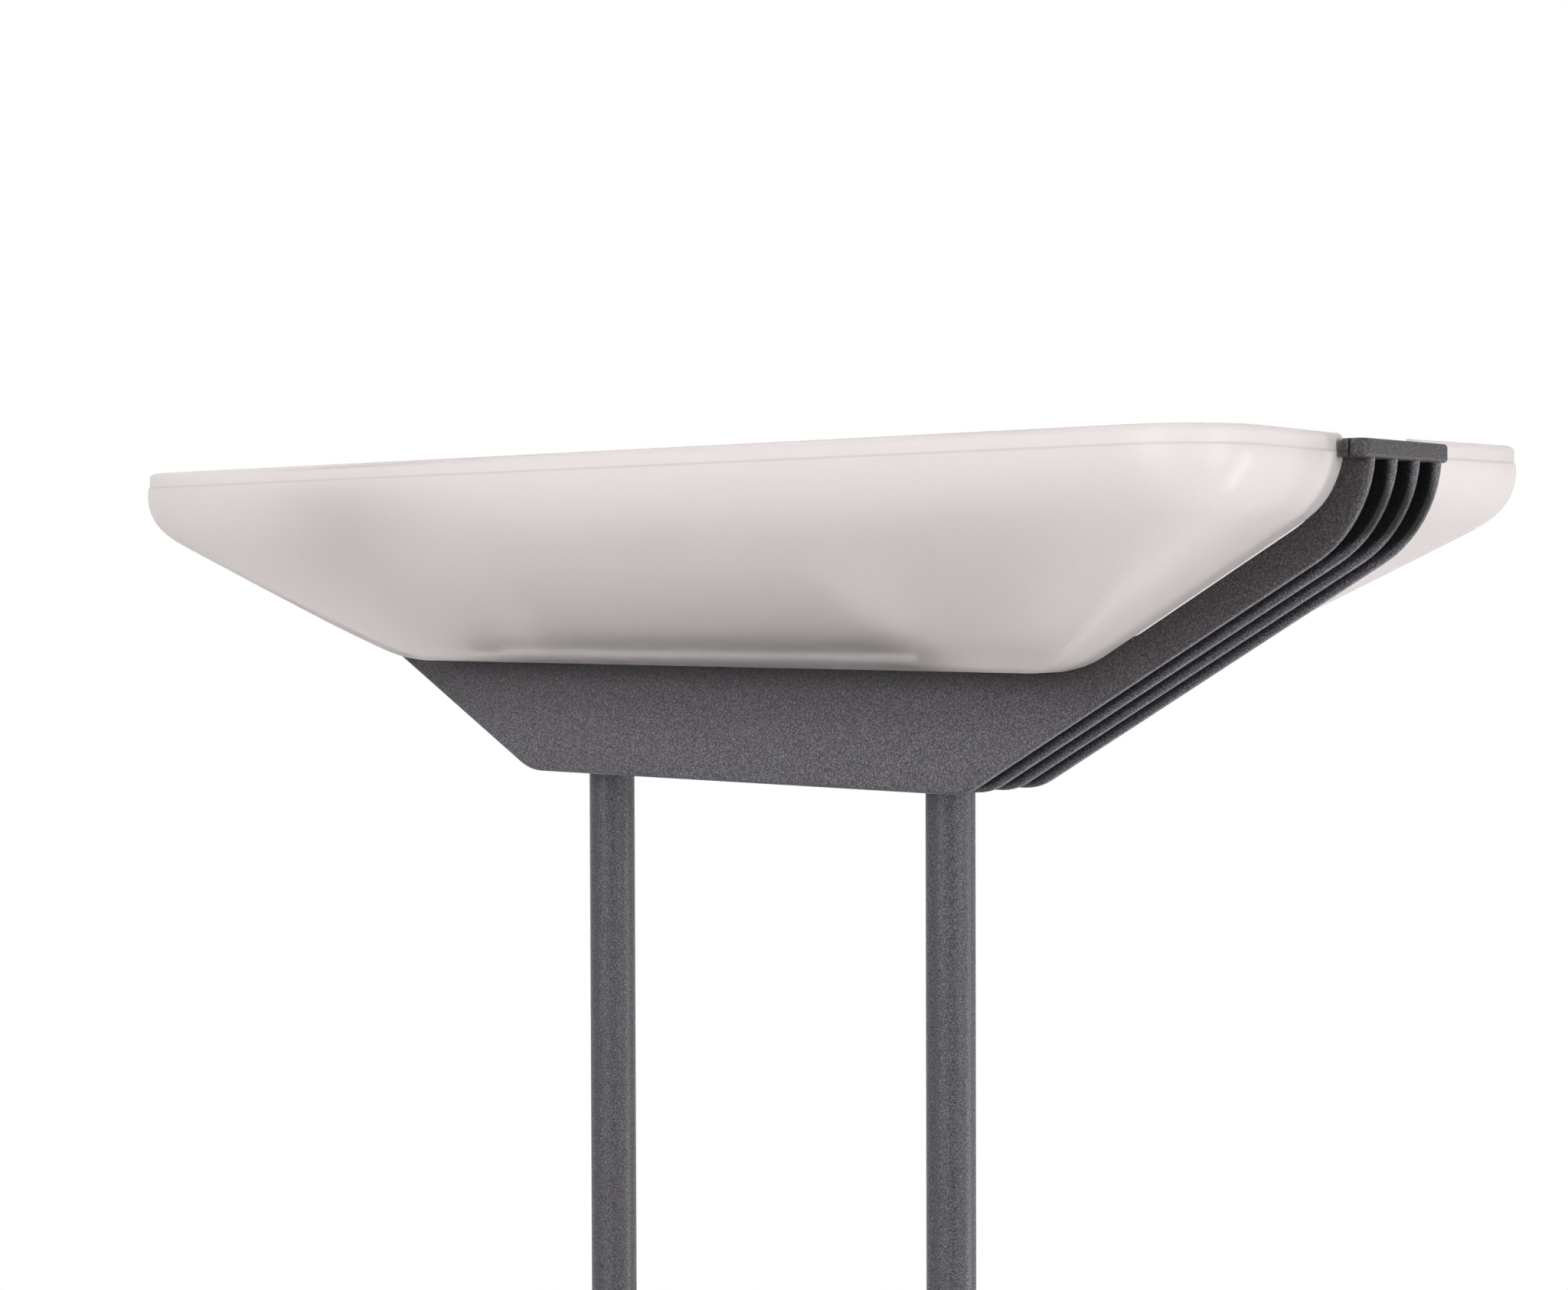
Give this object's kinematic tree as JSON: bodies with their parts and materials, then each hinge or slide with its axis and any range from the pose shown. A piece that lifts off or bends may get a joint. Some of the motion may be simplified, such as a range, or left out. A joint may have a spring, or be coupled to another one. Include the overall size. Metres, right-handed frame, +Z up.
{
  "type": "uplighter",
  "caption": "Floor-standing uplighter: a ribbed grey keel between frosted glass bowls, on slim round posts over a flat base with a rotary dimmer.",
  "frame": {"origin": "middle of the footprint at floor level, under the pads", "axes": "+Z up, +X along the lamp's head towards its right end seen from the front, -Y towards the front"},
  "size_m": [0.592, 0.28, 1.85],
  "materials": {
    "cast_metal": "fine speckled metallic grey paint",
    "post_metal": "fine speckled metallic grey paint",
    "base_metal": "fine speckled metallic grey paint",
    "bowl_glass": "frosted, translucent",
    "clear_glass": "clear",
    "white_paint": "satin white paint",
    "bright_reflector": "polished",
    "plate_steel": "zinc plated",
    "lamp_ceramic": null,
    "contact_brass": "bright",
    "black_plastic": "fine matt",
    "pad_rubber": "matt",
    "lead_sleeve": "woven sleeve"
  },
  "bodies": {
    "lamp": {"keel_casting": "cast_metal", "front_bowl": "bowl_glass", "rear_bowl": "bowl_glass", "front_bowl_rail": "plate_steel", "rear_bowl_rail": "plate_steel", "front_bowl_clips": "plate_steel", "rear_bowl_clips": "plate_steel", "rail_screws": "plate_steel", "clip_screws": "plate_steel", "wiring_cover": "white_paint", "wiring_cover_screws": "plate_steel", "terminal_block": "lamp_ceramic", "terminal_screws": "contact_brass", "post_grub_screws": "plate_steel", "lamp_housing": "white_paint", "housing_screws": "plate_steel", "reflector": "bright_reflector", "halogen_tube": "clear_glass", "tube_end_caps": "lamp_ceramic", "frame_hinge_pins": "plate_steel", "lamp_holder_right": "lamp_ceramic", "lamp_holder_left": "lamp_ceramic", "holder_bracket_right": "plate_steel", "holder_bracket_left": "plate_steel", "holder_shield_right": "white_paint", "holder_shield_left": "white_paint", "post_grommets": "pad_rubber", "base_plate": "base_metal", "base_pads": "pad_rubber", "foot_bolts": "plate_steel", "base_shoe": "base_metal", "dimmer_module": "black_plastic", "dimmer_nut": "contact_brass", "cable_gland": "black_plastic", "gland_nut": "black_plastic", "post_left": "post_metal", "post_right": "post_metal", "post_foot_left": "plate_steel", "post_foot_right": "plate_steel", "post_collar_left": "base_metal", "post_collar_right": "base_metal", "riser_lead_left": "lead_sleeve", "riser_lead_right": "lead_sleeve"},
    "glass_lid": {"glass_frame": "white_paint", "safety_glass": "clear_glass"},
    "dimmer_control": {"dimmer_knob": "black_plastic", "dimmer_shaft": "contact_brass"},
    "contact_right": {"contact_plunger_right": "contact_brass"},
    "contact_left": {"contact_plunger_left": "contact_brass"}
  },
  "joints": [
    {"name": "glass_lid_hinge", "type": "hinge", "parent": "lamp", "child": "glass_lid", "pos_m": [0, 0.067, 1.8228], "axis": [-1, 0, 0], "range_deg": [0, 100]},
    {"name": "dimmer_turn", "type": "hinge", "parent": "lamp", "child": "dimmer_control", "pos_m": [0, 0, 0.055], "axis": [0, 0, -1], "range_deg": [0, 290]},
    {"name": "contact_right_slide", "type": "slide", "parent": "lamp", "child": "contact_right", "axis": [1, 0, 0], "range_m": [0, 0.003], "stiffness_N_per_m": 1500},
    {"name": "contact_left_slide", "type": "slide", "parent": "lamp", "child": "contact_left", "axis": [-1, 0, 0], "range_m": [0, 0.003], "stiffness_N_per_m": 1500}
  ]
}
